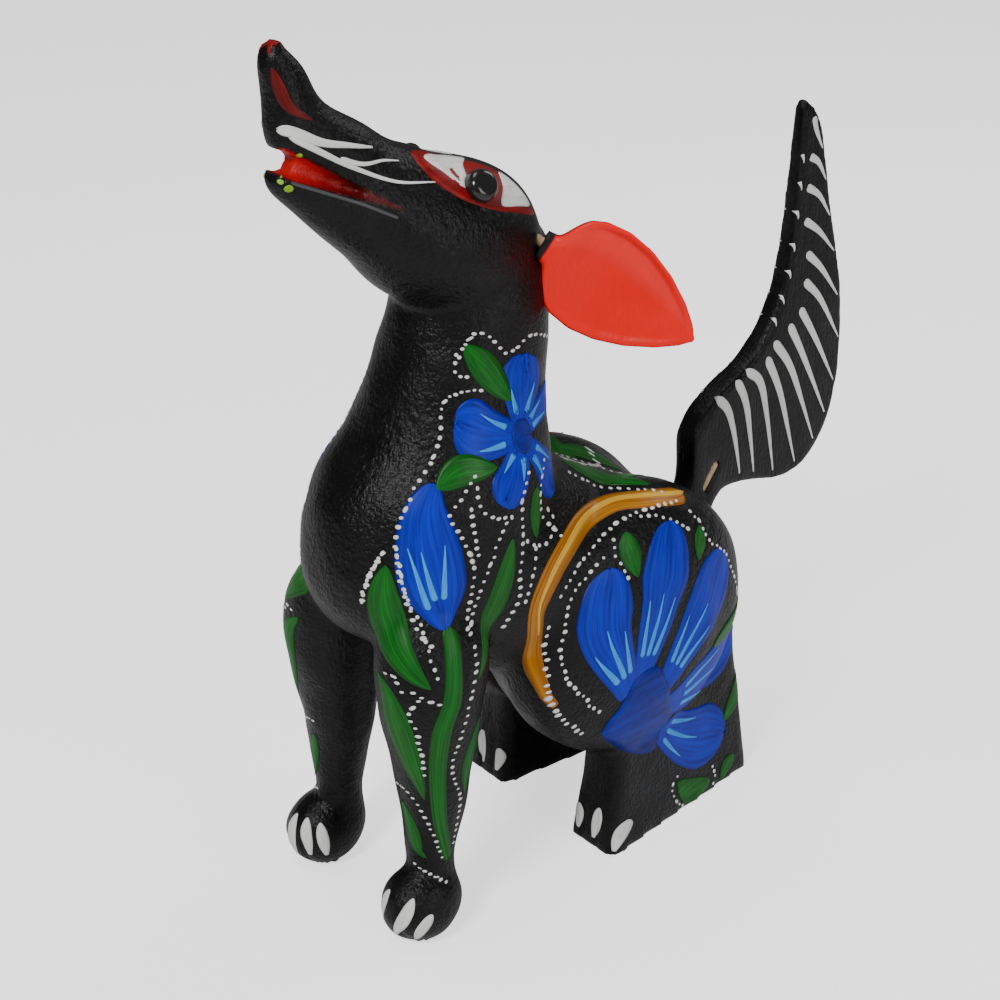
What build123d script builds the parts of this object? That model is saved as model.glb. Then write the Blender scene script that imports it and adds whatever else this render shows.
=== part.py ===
"""Seated, howling coyote carved in copal wood, in millimetres.

The head, trunk and legs are one carved block. The tail and the two ears are carved apart and plug on
with loose dowels, and the two eye beads are glued in shallow drilled seats.

The figure looks along -Y with its left side at +X and stands on Z = 0. The origin is the middle of
its bounding box, on the ground.
"""

import os
from math import cos, radians, sin

from build123d import *

# ---- Driving dimensions of the carved block -------------------------------------------------
chest_y = -51.5  # middle of the chest, fore and aft
chest_z = 92.0
chest_half_width = 26.0
chest_half_depth = 31.0
nape_y = -35.0  # middle of the neck where the head sits on it
nape_z = 160.0
neck_half_width = 17.5
neck_half_depth = 19.0

trunk_slope = 30.0  # degrees that the back falls towards the rump
trunk_length = 118.0
trunk_half_width = 27.0
trunk_half_depth = 27.0

head_pitch = 32.0  # degrees that the muzzle points above level
head_y = -41.3  # the mouth line, where it would reach the middle of the head
head_z = 160.5
head_length = 71.5  # occiput to lower lip
overbite = 1.0  # the upper lip, ahead of the lower one
head_half_width = 17.0
head_half_height = 17.5
muzzle_half_width = 6.4
snout_rise = 24.0  # from the mouth line to the upturned tip
mouth_length = 26.0
mouth_roof = 2.7  # the upper lip's edge over the mouth line
mouth_floor = 1.9  # the lower lip's edge under the mouth line
mouth_core_setback = 4.0  # from the lips back to the wood that fills the mouth's middle
mouth_core_front_half_width = 2.2
mouth_core_rear_half_width = 6.5

leg_spread = 18.5  # front leg's axis from the middle plane
leg_y = -65.6
leg_half_width = 11.8  # at the elbow
ankle_half_width = 5.9
paw_half_width = 8.8
paw_half_length = 10.6
paw_half_height = 9.8
paw_sole_cut = 1.0  # sawn off flat under the ball

haunch_y = -4.5  # middle of the thigh's disc
haunch_z = 61.5
haunch_radius = 35.5
haunch_half_width = 32.5
foot_front_y = -17.5
foot_rear_y = 40.5
foot_outer_x = 29.5  # at the toes
heel_outer_x = 22.5
foot_inner_x = 13.0
heel_inner_x = 7.0
foot_height = 47.0
foot_top_inset = 6.0  # where the shank runs into the thigh

# ---- Driving dimensions of the plugged-on pieces --------------------------------------------
tail_root_share = 0.838  # of the trunk's length, from the chest to the tail's seat
tail_root_rise = 26.38  # of the tail's seat over the trunk's axis
tail_lean = 36.0  # degrees that the tail's dowel leans back from upright
tail_length = 102.0
tail_width = 50.0  # across the blade at its widest
tail_root_radius = 6.4
tail_front_thickness = 7.4
tail_rear_thickness = 3.0
tail_dowel_radius = 2.5
tail_dowel_depth = 13.0  # in the trunk, and as much again in the tail

ear_root = (13.2, -28.6, 162.8)
ear_out = 48.0  # degrees that the ear's axis swings out from straight back
ear_drop = 31.0  # degrees that it falls below level
ear_length = 34.5  # of the leaf, beyond its root
ear_root_length = 5.0
ear_half_width = 12.5
ear_thickness = 6.2
ear_back = 3.8  # from the dowel's axis to the back of the ear
ear_rim = 2.6
ear_hollow = 2.4
ear_root_radius = 3.2
ear_dowel_radius = 1.2
ear_dowel_depth = 6.0

eye_x = 12.9
eye_y = -45.2
eye_z = 179.0
eye_tilt = 28.0  # degrees that each bead looks up from level
eye_bead_radius = 3.6
eye_bead_rise = 1.9
eye_seat_depth = 1.6

dowel_clearance = 0.05  # radial, a turning fit
dowel_end_gap = 0.5  # each dowel stops short of its hole's end
root_gap = 0.35  # under and round a tail's or ear's root in its seat
bead_clearance = 0.03  # radial, filled with glue

head_axis = Vector(0, -cos(radians(head_pitch)), sin(radians(head_pitch)))
head_up = Vector(0, sin(radians(head_pitch)), cos(radians(head_pitch)))
jaw_hinge = Vector(0, head_y, head_z)


def oval_loft(stations, across=(1, 0, 0)):
    """A loft through ovals. A station is (centre, normal, half size along across, other half size)."""
    with BuildPart() as limb:
        for centre, normal, half_across, half_other in stations:
            with BuildSketch(Plane(origin=centre, x_dir=across, z_dir=normal)):
                Ellipse(half_across, half_other)
        loft()
    return limb.part


def ellipsoid(centre, half_x, half_y, half_z):
    """A ball stretched to three half sizes."""
    with BuildPart(mode=Mode.PRIVATE) as ball:
        Sphere(1)
    stretched = scale(ball.part, by=(half_x, half_y, half_z))
    return stretched.moved(Location(centre))


trunk_axis = Vector(0, cos(radians(trunk_slope)), -sin(radians(trunk_slope)))
trunk_up = Vector(0, sin(radians(trunk_slope)), cos(radians(trunk_slope)))
trunk_start = Vector(0, chest_y, chest_z + 1) - trunk_axis * 14


def trunk():
    """The back, belly and rump, falling towards the rear."""
    shares = [  # share of the trunk's length, of its half width and of its half depth
        (0.00, 0.40, 0.40),
        (0.05, 0.80, 0.78),
        (0.18, 0.98, 0.98),
        (0.42, 1.00, 1.02),
        (0.65, 1.00, 1.05),
        (0.82, 0.94, 1.00),
        (0.94, 0.72, 0.78),
        (1.00, 0.36, 0.40),
    ]
    return oval_loft(
        [
            (
                trunk_start + trunk_axis * trunk_length * s,
                trunk_axis,
                trunk_half_width * w,
                trunk_half_depth * d,
            )
            for s, w, d in shares
        ]
    )


def neck():
    """The chest and the neck above it, which narrows and leans back to the nape."""
    rise = nape_z - chest_z
    lean = nape_y - chest_y
    chest = [  # share of the rise, share of the lean, half sizes over the chest's
        (-0.29, -0.10, 0.45, 0.40),
        (-0.24, -0.06, 0.74, 0.70),
        (-0.14, -0.02, 0.94, 0.92),
        (0.00, 0.00, 1.00, 1.00),
        (0.15, 0.04, 0.98, 0.98),
        (0.31, 0.18, 0.92, 0.90),
    ]
    column = [  # the same, over the neck's own half sizes
        (0.43, 0.36, 1.22, 1.26),
        (0.56, 0.52, 1.12, 1.14),
        (0.72, 0.68, 1.03, 1.05),
        (0.86, 0.82, 0.98, 0.99),
        (1.00, 0.95, 0.86, 0.88),
        (1.08, 1.02, 0.55, 0.58),
    ]
    halves = [(s, g, chest_half_width * w, chest_half_depth * d) for s, g, w, d in chest]
    halves += [(s, g, neck_half_width * w, neck_half_depth * d) for s, g, w, d in column]
    return oval_loft(
        [((0, chest_y + lean * g, chest_z + rise * s), (0, 0, 1), w, d) for s, g, w, d in halves]
    )


def skull():
    """The head from the occiput to the lower lip, along the pitched head axis."""
    back = jaw_hinge - head_axis * 17
    stations = [  # share of the head's length, rise of the centre over the mouth line, half size shares
        (0.00, 0.05, 0.36, 0.34),
        (0.07, 0.12, 0.74, 0.74),
        (0.19, 0.12, 0.96, 0.98),
        (0.34, 0.10, 1.00, 0.99),
        (0.48, 0.04, 0.90, 0.89),
        (0.64, 0.06, 0.68, 0.72),
        (0.80, 0.00, 0.46, 0.52),
        (0.91, -0.08, 0.34, 0.34),
        (0.96, -0.12, 0.27, 0.25),
        (1.00, -0.13, 0.17, 0.13),
    ]
    return oval_loft(
        [
            (
                back + head_axis * head_length * s + head_up * head_half_height * c,
                head_axis,
                head_half_width * w,
                head_half_height * h,
            )
            for s, c, w, h in stations
        ]
    )


def snout():
    """The upper jaw, which curves up to a narrow tip."""
    lips = jaw_hinge + head_axis * (head_length - 17 + overbite)
    stations = [  # shares of the snout's rise: back from the lips and up; degrees of its axis; half sizes
        (1.60, 0.20, 32, 1.60, 0.30),
        (1.20, 0.26, 34, 1.48, 0.34),
        (0.84, 0.30, 38, 1.22, 0.32),
        (0.44, 0.32, 42, 1.02, 0.31),
        (0.22, 0.40, 50, 0.88, 0.30),
        (0.16, 0.54, 56, 0.80, 0.26),
        (0.08, 0.77, 62, 0.60, 0.17),
        (0.03, 0.95, 64, 0.40, 0.08),
    ]
    return oval_loft(
        [
            (
                lips - head_axis * snout_rise * b + Vector(0, 0, snout_rise * u) + head_up * 1.0,
                (0, -cos(radians(angle)), sin(radians(angle))),
                muzzle_half_width * w,
                snout_rise * h,
            )
            for b, u, angle, w, h in stations
        ]
    )


def front_leg():
    """The left straight front leg, with its ball of a paw."""
    stations = [  # height, out, aft, half width share, half depth share
        (chest_z * 1.02, -6.0, 5.0, 0.45, 0.55),
        (chest_z * 0.95, -4.0, 4.0, 0.80, 1.00),
        (chest_z * 0.82, -1.0, 1.2, 0.98, 1.18),
        (chest_z * 0.68, 0.0, 0.0, 0.97, 1.08),
        (chest_z * 0.54, 0.0, 0.0, 0.82, 0.88),
        (chest_z * 0.40, 0.0, 0.0, 0.68, 0.72),
    ]
    ankle = [(0.27, 1.04, 1.10), (0.14, 1.0, 1.05), (0.06, 0.85, 0.85)]
    rows = [(z, out, aft, leg_half_width * w, leg_half_width * d) for z, out, aft, w, d in stations]
    rows += [(chest_z * s, 0.0, -0.8, ankle_half_width * w, ankle_half_width * d) for s, w, d in ankle]
    shaft = oval_loft([((leg_spread + out, leg_y + aft, z), (0, 0, 1), w, d) for z, out, aft, w, d in rows])
    paw_centre = (leg_spread + 1.2, leg_y - 5, paw_half_height - paw_sole_cut)
    with BuildPart() as paw:
        add(ellipsoid(paw_centre, paw_half_width, paw_half_length, paw_half_height))
        with Locations((paw_centre[0], paw_centre[1], 2 * paw_half_height)):
            Box(4 * paw_half_width, 4 * paw_half_length, 4 * paw_half_height, mode=Mode.INTERSECT)
    return [shaft, paw.part]


def haunch():
    """The left thigh, a thick disc proud of the trunk's side, with a domed face."""
    wide = haunch_half_width
    radius = haunch_radius
    middle = Vector(0, haunch_y, haunch_z)
    with BuildPart() as thigh:
        with BuildSketch(Plane(origin=middle, x_dir=(1, 0, 0), z_dir=(0, 0, 1))):
            with BuildLine():
                Polyline((wide, 0), (2, 0), (2, radius * 0.90), (wide * 0.45, radius))
                Spline(
                    (wide * 0.45, radius),
                    (wide * 0.82, radius * 0.89),
                    (wide * 0.96, radius * 0.54),
                    (wide, 0),
                    tangents=((1, 0), (0, -1)),
                )
            make_face()
        revolve(axis=Axis(middle, (1, 0, 0)))
    return thigh.part


def hind_foot():
    """The lower left hind leg and its long sole, splayed out towards the toes."""
    with BuildPart() as foot:
        for height, inset in ((0, 0), (foot_height, foot_top_inset)):
            with BuildSketch(Plane.XY.offset(height)) as level:
                Polygon(
                    (foot_inner_x + inset * 0.4, foot_front_y + inset),
                    (foot_outer_x - inset * 0.7, foot_front_y + inset),
                    (heel_outer_x - inset * 0.5, foot_rear_y - inset),
                    (heel_inner_x + inset * 0.4, foot_rear_y - inset),
                    align=None,
                )
                fillet(level.vertices(), radius=3.0)
        loft()
    return foot.part


tail_axis = Vector(0, sin(radians(tail_lean)), cos(radians(tail_lean)))
tail_root = trunk_start + trunk_axis * trunk_length * tail_root_share + trunk_up * tail_root_rise
tail_plane = Plane(origin=tail_root, x_dir=(1, 0, 0), z_dir=tail_axis)


# Z runs out along the left ear and X through its thickness, out of the hollow.
ear_level = cos(radians(ear_drop))
ear_axis = Vector(
    sin(radians(ear_out)) * ear_level,
    cos(radians(ear_out)) * ear_level,
    -sin(radians(ear_drop)),
)
ear_hollow_side = Vector(cos(radians(ear_out)), -sin(radians(ear_out)), 0)
ear_plane = Plane(origin=ear_root, x_dir=ear_hollow_side, z_dir=ear_axis)

# Z runs out of the head, along the left eye bead's axis.
eye_plane = Plane(
    origin=(eye_x, eye_y, eye_z),
    x_dir=(0, 1, 0),
    z_dir=(cos(radians(eye_tilt)), 0, sin(radians(eye_tilt))),
)


def dowel(plane, radius, depth):
    """A loose dowel, half in the carved block and half in the piece that it holds."""
    with BuildPart() as pin:
        with BuildSketch(plane.offset(dowel_end_gap - depth)):
            Circle(radius)
        extrude(amount=2 * (depth - dowel_end_gap))
        chamfer(pin.edges().filter_by(GeomType.CIRCLE), length=radius * 0.2)
    return pin.part


def socket(plane, radius, depth, seat):
    """What is cut away for one plugged piece: a dowel hole and a round flat seat round its mouth."""
    with BuildPart() as cut:
        with BuildSketch(plane.offset(-root_gap)):
            Circle(seat + 2 * root_gap)
        extrude(amount=12)
        with BuildSketch(plane):
            Circle(radius + dowel_clearance)
        extrude(amount=-depth)
    return cut.part


def eye_seat():
    """What is cut away for the left eye bead."""
    with BuildPart() as cut:
        with BuildSketch(eye_plane.offset(-eye_seat_depth)):
            Circle(eye_bead_radius)
        extrude(amount=12)
    return cut.part


def mouth_cut():
    """The mouth: a wedge widest at the lips, open right through at the front and a recess behind that."""
    lips = jaw_hinge + head_axis * (head_length - 17 + overbite)
    with BuildPart() as cut:
        with BuildSketch(Plane(origin=lips, x_dir=-head_axis, z_dir=(1, 0, 0))):
            Polygon(
                (mouth_length, mouth_roof * 0.75),
                (0, mouth_roof),
                (-1.5, mouth_roof * 0.6),
                (-12, mouth_roof * 0.6),
                (-12, -mouth_floor),
                (4, -mouth_floor),
                align=None,
            )
        extrude(amount=20, both=True)
        with BuildSketch(Plane(origin=lips, x_dir=-head_axis, z_dir=head_up)):
            Polygon(
                (mouth_core_setback, mouth_core_front_half_width),
                (mouth_length + 4, mouth_core_rear_half_width),
                (mouth_length + 4, -mouth_core_rear_half_width),
                (mouth_core_setback, -mouth_core_front_half_width),
                align=None,
            )
        extrude(amount=10, both=True, mode=Mode.SUBTRACT)
    return cut.part


def carved_body():
    """The one block, carved alike on both sides, with the mouth, the sockets and the flat soles cut."""
    left_limbs = [*front_leg(), haunch(), hind_foot()]
    left_cuts = [socket(ear_plane, ear_dowel_radius, ear_dowel_depth, ear_root_radius), eye_seat()]
    with BuildPart() as block:
        add(trunk())
        add(neck())
        add(skull())
        add(snout())
        for limb in left_limbs:
            add(limb)
            add(mirror(limb, about=Plane.YZ))
        add(mouth_cut(), mode=Mode.SUBTRACT)
        add(socket(tail_plane, tail_dowel_radius, tail_dowel_depth, tail_root_radius), mode=Mode.SUBTRACT)
        for cut in left_cuts:
            add(cut, mode=Mode.SUBTRACT)
            add(mirror(cut, about=Plane.YZ), mode=Mode.SUBTRACT)
    return block.part


def tail():
    """A flat S-shaped blade with a broad side, a narrow front face and a thin rear edge."""
    stations = [  # share of the length, front and rear edges as shares of the width, thickness shares
        (0.00, -0.12, 0.12, 1.00, 1.00),
        (0.05, -0.15, 0.15, 1.00, 1.70),
        (0.12, -0.25, 0.34, 1.02, 1.20),
        (0.19, -0.29, 0.64, 1.00, 1.10),
        (0.27, -0.25, 0.74, 0.98, 1.00),
        (0.37, -0.15, 0.735, 0.92, 1.00),
        (0.48, -0.12, 0.64, 0.86, 1.00),
        (0.59, -0.165, 0.48, 0.80, 0.95),
        (0.71, -0.29, 0.24, 0.72, 0.90),
        (0.84, -0.46, -0.10, 0.64, 0.85),
        (0.94, -0.60, -0.34, 0.54, 0.75),
        (1.00, -0.66, -0.55, 0.34, 0.55),
    ]
    with BuildPart() as blade:
        for share, front, rear, thick, thin in stations:
            front_half = tail_front_thickness / 2 * thick
            rear_half = (tail_root_radius * 0.75 if share < 0.05 else tail_rear_thickness / 2) * thin
            front_y = tail_width * front
            rear_y = tail_width * rear
            with BuildSketch(tail_plane.offset(tail_length * share)) as section:
                with BuildLine():
                    Polyline(
                        (-front_half, front_y),
                        (front_half, front_y),
                        (rear_half, rear_y),
                        (-rear_half, rear_y),
                        close=True,
                    )
                make_face()
                fillet(section.vertices(), radius=min(front_half, rear_half) * 0.6)
        loft()
        with BuildSketch(tail_plane):
            Circle(tail_dowel_radius + dowel_clearance)
        extrude(amount=tail_dowel_depth, mode=Mode.SUBTRACT)
    return blade.part


def ear():
    """A leaf-shaped ear with a domed back, hollowed inside a flat rim, on a round root."""
    plane = ear_plane
    front = ear_thickness - ear_back
    outline = [  # share of the length, share of the half width, share of the thickness
        (0.00, 0.28, 0.50),
        (0.06, 0.60, 0.82),
        (0.16, 0.90, 1.00),
        (0.33, 1.00, 1.00),
        (0.53, 0.91, 0.94),
        (0.72, 0.68, 0.82),
        (0.89, 0.34, 0.60),
        (1.00, 0.06, 0.30),
    ]
    hollow = [  # share of the length, half width within the rim as a share, share of the hollow's depth
        (0.10, 0.34, 0.45),
        (0.16, 0.80, 0.85),
        (0.33, 1.00, 1.00),
        (0.53, 0.90, 1.00),
        (0.71, 0.60, 0.80),
        (0.85, 0.14, 0.40),
    ]
    with BuildPart() as flap:
        for share, wide, thick in outline:
            with BuildSketch(plane.offset(ear_root_length + ear_length * share)):
                with Locations((front, 0)):
                    Ellipse(ear_thickness * thick, ear_half_width * wide)
        loft()
        with BuildSketch(plane):
            with Locations((front + ear_length, 0)):
                Rectangle(2 * ear_length, 4 * ear_length)
        extrude(amount=2 * ear_length, mode=Mode.SUBTRACT)
        with BuildPart(mode=Mode.SUBTRACT):
            for share, wide, deep in hollow:
                with BuildSketch(plane.offset(ear_root_length + ear_length * share)):
                    with Locations((front, 0)):
                        Ellipse(ear_hollow * deep, (ear_half_width - ear_rim) * wide)
            loft()
        with BuildSketch(plane):
            Circle(ear_root_radius)
        extrude(amount=ear_root_length + 1.5)
        with BuildSketch(plane):
            Circle(ear_dowel_radius + dowel_clearance)
        extrude(amount=ear_dowel_depth, mode=Mode.SUBTRACT)
    return flap.part


def eye_bead():
    """A round bead with a domed front."""
    radius = eye_bead_radius - bead_clearance
    with BuildPart() as bead:
        with BuildSketch(eye_plane.offset(-eye_seat_depth)):
            Circle(radius)
        extrude(amount=eye_seat_depth + eye_bead_rise)
        rim = bead.edges().filter_by(GeomType.CIRCLE).sort_by(Axis(eye_plane.origin, eye_plane.z_dir))
        fillet(rim[-1], radius=eye_bead_rise * 0.95)
    return bead.part


def main():
    """Builds every piece and writes one STEP file each."""
    os.makedirs("parts", exist_ok=True)
    pieces = {
        "carved_body": carved_body(),
        "tail": tail(),
        "tail_peg": dowel(tail_plane, tail_dowel_radius, tail_dowel_depth),
    }
    left_pieces = {
        "ear": ear(),
        "ear_peg": dowel(ear_plane, ear_dowel_radius, ear_dowel_depth),
        "eye": eye_bead(),
    }
    for name, piece in left_pieces.items():
        pieces[f"left_{name}"] = piece
        pieces[f"right_{name}"] = mirror(piece, about=Plane.YZ)
    for name, piece in pieces.items():
        piece.label = name
        export_step(piece, f"parts/{name}.step")


main()
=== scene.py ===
"""Howling coyote figure: carved skin, ears and painted marks, laid on the fixed frame."""

import bmesh
import bpy
import numpy as np
from mathutils import Matrix, Vector


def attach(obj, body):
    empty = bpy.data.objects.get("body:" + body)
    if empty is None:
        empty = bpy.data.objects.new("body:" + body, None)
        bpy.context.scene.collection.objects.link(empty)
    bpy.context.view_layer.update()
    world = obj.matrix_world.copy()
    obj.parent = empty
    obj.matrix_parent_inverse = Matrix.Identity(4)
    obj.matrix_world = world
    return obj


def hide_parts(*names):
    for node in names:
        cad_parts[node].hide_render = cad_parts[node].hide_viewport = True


bl_info = {
    "name": "Howling coyote figure",
    "version": (1, 0, 0),
    "blender": (4, 5, 0),
    "location": "View3D > Sidebar > Coyote",
    "description": "Carves, paints and lights a seated howling coyote",
    "category": "Object",
}

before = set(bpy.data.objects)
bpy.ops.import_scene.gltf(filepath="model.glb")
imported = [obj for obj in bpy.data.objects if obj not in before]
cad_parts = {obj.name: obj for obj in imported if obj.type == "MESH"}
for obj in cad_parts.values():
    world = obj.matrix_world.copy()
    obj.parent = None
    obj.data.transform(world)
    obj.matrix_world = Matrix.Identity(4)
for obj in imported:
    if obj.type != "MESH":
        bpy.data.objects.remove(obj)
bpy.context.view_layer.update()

MM = 0.001
rng = np.random.default_rng(64)

# Places that the carving shares, in millimetres.
NECK_AXIS = (0.0, -50.0)
NECK_RADIUS = 24.0
LEG_AXIS = (18.5, -66.0)
LEG_RADIUS = 10.0
PAW_CENTRE = (19.7, -70.6, 8.8)
PAW_RADIUS = 10.0
JAW = np.array([0.0, -41.3, 160.5])
HEAD_PITCH = np.radians(32.0)
HEAD_AXIS = np.array([0.0, -np.cos(HEAD_PITCH), np.sin(HEAD_PITCH)])
HEAD_UP = np.array([0.0, np.sin(HEAD_PITCH), np.cos(HEAD_PITCH)])
EAR_ROOT = np.array([13.2, -28.6, 162.8])
EAR_OUT = np.radians(48.0)
EAR_DROP = np.radians(31.0)
EYE_SEAT = np.array([12.9, -45.2, 179.0])
TAIL_SEAT = np.array([0.0, 35.2, 73.4])
LIPS_ALONG = 55.5  # along the head from the jaw's hinge
MOUTH_LENGTH = 26.0
SOLE_CUT = 0.6  # what is under this is pressed flat on the ground
CANVAS_FAR = 260.0  # from the middle plane out to a flat canvas
DOT_POINTS = 8  # round a dot's rim


# ---- Small helpers ---------------------------------------------------------------------------


def unit(vectors):
    """Vectors over their own lengths."""
    return vectors / np.maximum(np.linalg.norm(vectors, axis=-1, keepdims=True), 1e-12)


def new_object(name, coords, faces, material, uv=None):
    """A smooth-shaded mesh object from millimetre coordinates. Faces is a list of index arrays."""
    mesh = bpy.data.meshes.new(name)
    polygons = [face for block in faces for face in block.tolist()]
    mesh.from_pydata((np.asarray(coords) * MM).tolist(), [], polygons)
    if uv is not None:
        layer = mesh.uv_layers.new(name="Brush")
        corner = np.empty(len(mesh.loops), dtype=np.int32)
        mesh.loops.foreach_get("vertex_index", corner)
        layer.data.foreach_set("uv", np.asarray(uv, dtype=np.float32)[corner].ravel())
    mesh.materials.append(material)
    mesh.shade_smooth()
    obj = bpy.data.objects.new(name, mesh)
    bpy.context.scene.collection.objects.link(obj)
    return obj


def read_coords(mesh):
    """A mesh's points as an array, in millimetres."""
    flat = np.empty(len(mesh.vertices) * 3)
    mesh.vertices.foreach_get("co", flat)
    return flat.reshape(-1, 3) / MM


def write_coords(mesh, coords):
    """Sets a mesh's points from millimetres."""
    mesh.vertices.foreach_set("co", (coords * MM).ravel())
    mesh.update()


def read_normals(mesh):
    """A mesh's point normals as an array."""
    flat = np.empty(len(mesh.vertices) * 3, dtype=np.float32)
    mesh.vertex_normals.foreach_get("vector", flat)
    return flat.reshape(-1, 3).astype(float)


def settle(obj):
    """Applies an object's modifiers to its mesh."""
    graph = bpy.context.evaluated_depsgraph_get()
    graph.update()
    evaluated = obj.evaluated_get(graph)
    mesh = bpy.data.meshes.new_from_object(evaluated, preserve_all_data_layers=True, depsgraph=graph)
    old = obj.data
    mesh.name = old.name
    obj.modifiers.clear()
    obj.data = mesh
    bpy.data.meshes.remove(old)


def weigh(obj, name, weights, levels=10):
    """Stores weights from 0 to 1 in a vertex group, in steps."""
    group = obj.vertex_groups.new(name=name)
    steps = np.rint(np.clip(weights, 0, 1) * levels).astype(int)
    for level in range(1, levels + 1):
        index = np.flatnonzero(steps == level)
        if len(index):
            group.add(index.tolist(), level / levels, "REPLACE")
    return group


def grid_faces(rows, columns, closed=False):
    """The quads of a grid whose points run column by column within each row."""
    across = columns if closed else columns - 1
    row = np.arange(rows - 1)[:, None] * columns
    column = np.arange(across)[None, :]
    following = (column + 1) % columns
    after = row + columns
    quads = np.stack([row + column, row + following, after + following, after + column], axis=-1)
    return quads.reshape(-1, 4)


def bump(distance, reach):
    """A smooth hill, 1 at no distance and 0 from the reach on."""
    share = np.clip(1 - np.abs(distance) / reach, 0, 1)
    return share * share * (3 - 2 * share)


def curve_through(knots):
    """A Catmull-Rom curve from the second knot to the last but one."""
    spans = len(knots) - 3
    place = np.linspace(0, spans, spans * 24 + 1)
    first = np.minimum(place.astype(int), spans - 1)
    share = (place - first)[:, None]
    a, b, c, d = (knots[first + k] for k in range(4))
    curve = 0.5 * (2 * b + (c - a) * share + (2 * a - 5 * b + 4 * c - d) * share**2)
    return curve + 0.5 * (3 * b - 3 * c + d - a) * share**3


def smooth_path(points):
    """A smooth open curve through the points."""
    knots = np.asarray(points, dtype=float)
    before = 2 * knots[:1] - knots[1:2]
    after = 2 * knots[-1:] - knots[-2:-1]
    return curve_through(np.vstack([before, knots, after]))


def travel(path):
    """The length run along a path at each of its points."""
    return np.concatenate([[0], np.cumsum(np.linalg.norm(np.diff(path, axis=0), axis=1))])


def follow(path, shares):
    """Places on a path at shares of its length."""
    run = travel(path)
    return np.stack([np.interp(shares * run[-1], run, path[:, k]) for k in range(2)], axis=1)


def leftward(path):
    """The way to the left of a path at each of its points."""
    tangent = unit(np.gradient(path, axis=0))
    return np.stack([-tangent[:, 1], tangent[:, 0]], axis=1)


# ---- Canvases: where a flat painted layout meets the round carving ------------------------------
# Each canvas turns flat places into places outside the carving, with the way out at each.


def tilted(turn, rise):
    """A flat canvas that faces left, turned towards the front and raised: (front to back, up)."""
    turn, rise = np.radians(turn), np.radians(rise)
    out = np.array([np.cos(turn) * np.cos(rise), -np.sin(turn) * np.cos(rise), np.sin(rise)])
    along = np.array([np.sin(turn), np.cos(turn), 0.0])
    up = np.cross(out, along)

    def canvas(points):
        places = CANVAS_FAR * out + points[:, :1] * along + points[:, 1:] * up
        return places, np.tile(out, (len(points), 1))

    return canvas


def drum(centre, far, scale):
    """A canvas rolled round an upright axis: (run from the front towards the left, height)."""

    def canvas(points):
        angle = points[:, 0] / scale
        out = np.stack([np.sin(angle), -np.cos(angle), np.zeros(len(points))], axis=1)
        level = np.array(centre) + far * out[:, :2]
        return np.column_stack([level, points[:, 1]]), out

    return canvas


def ball(centre, far, scale):
    """A canvas round a ball: (turn from the front, rise), both as millimetres on the ball."""

    def canvas(points):
        turn, rise = (points / scale).T
        level = np.cos(rise)
        out = np.stack([level * np.sin(turn), -level * np.cos(turn), np.sin(rise)], axis=1)
        return np.array(centre) + far * out, out

    return canvas


side_canvas = tilted(0, 0)
head_canvas = tilted(0, 35)
nose_canvas = tilted(45, 10)
shoulder_canvas = tilted(45, 15)
haunch_canvas = tilted(-12, 22)
flank_canvas = tilted(15, 40)
toes_canvas = tilted(65, 0)
neck_canvas = drum(NECK_AXIS, 46.0, NECK_RADIUS)
leg_canvas = drum(LEG_AXIS, 24.0, LEG_RADIUS)
paw_canvas = ball(PAW_CENTRE, 14.0, PAW_RADIUS)


def rolled(places, radius):
    """Places given as (degrees, height), on a canvas rolled round an upright axis."""
    places = np.asarray(places, dtype=float)
    return np.stack([np.radians(places[:, 0]) * radius, places[:, 1]], axis=1)


# ---- Brush marks: a width carried along a path --------------------------------------------------

def round_end(share):
    """1 before an end begins, then a quarter circle down to 0."""
    return np.sqrt(np.clip(1 - np.clip(share, 0, 1) ** 2, 0, 1))


def petal_width(u):
    """Narrow at the root, widest at two thirds, then a round end."""
    return (0.34 + 0.66 * np.clip(u / 0.66, 0, 1) ** 0.8) * round_end((u - 0.66) / 0.34)


def bud_width(u):
    """Round at both ends and widest below the middle."""
    return (0.55 + 0.45 * np.sin(np.pi * u**1.2)) * round_end(1 - u / 0.2) * round_end((u - 0.7) / 0.3)


PROFILES = {
    "leaf": lambda u: np.sin(np.pi * u**0.85) ** 0.75,
    "petal": petal_width,
    "bud": bud_width,
    "stroke": lambda u: round_end(1 - u / 0.07) * (1 - 0.9 * u) ** 0.8,
    "even": lambda u: round_end(1 - u / 0.03) * round_end((u - 0.97) / 0.03),
    "fade": lambda u: round_end(1 - u / 0.03) * (1 - 0.75 * np.clip((u - 0.6) / 0.4, 0, 1) ** 1.5),
    "claw": lambda u: (0.75 + 0.25 * np.sin(np.pi * u)) * round_end(1 - u / 0.3) * (1 - 0.6 * u**4),
}


def mark(points, width, profile="leaf", step=0.8):
    """One brush mark: across each point of a smooth path lies a width that the profile gives.

    Returns its flat points, its faces, its brush coordinates (along, across) and its height share,
    which is 1 along the middle and falls to 0 at the edge. Points stand closer near both ends.
    """
    curve = smooth_path(points)
    count = max(10, int(travel(curve)[-1] / step * 1.3))
    along = 0.5 - 0.5 * np.cos(np.pi * np.linspace(0, 1, count))
    path = follow(curve, along)
    across = np.linspace(-1, 1, 2 * max(3, int(np.ceil(width * 0.42))) + 1)
    half = np.maximum(width / 2 * PROFILES[profile](along), 0.05)
    flat = path[:, None] + leftward(path)[:, None] * (half[:, None] * across)[..., None]
    u, v = np.meshgrid(along, across, indexing="ij")
    height = (1 - np.abs(v) ** 3) * np.sqrt(np.clip(np.minimum(u, 1 - u) / 0.06, 0, 1))
    brush = np.stack([u, v * 0.5 + 0.5], axis=-1)
    faces = [grid_faces(count, len(across))]
    return flat.reshape(-1, 2), faces, brush.reshape(-1, 2), height.ravel()


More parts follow.
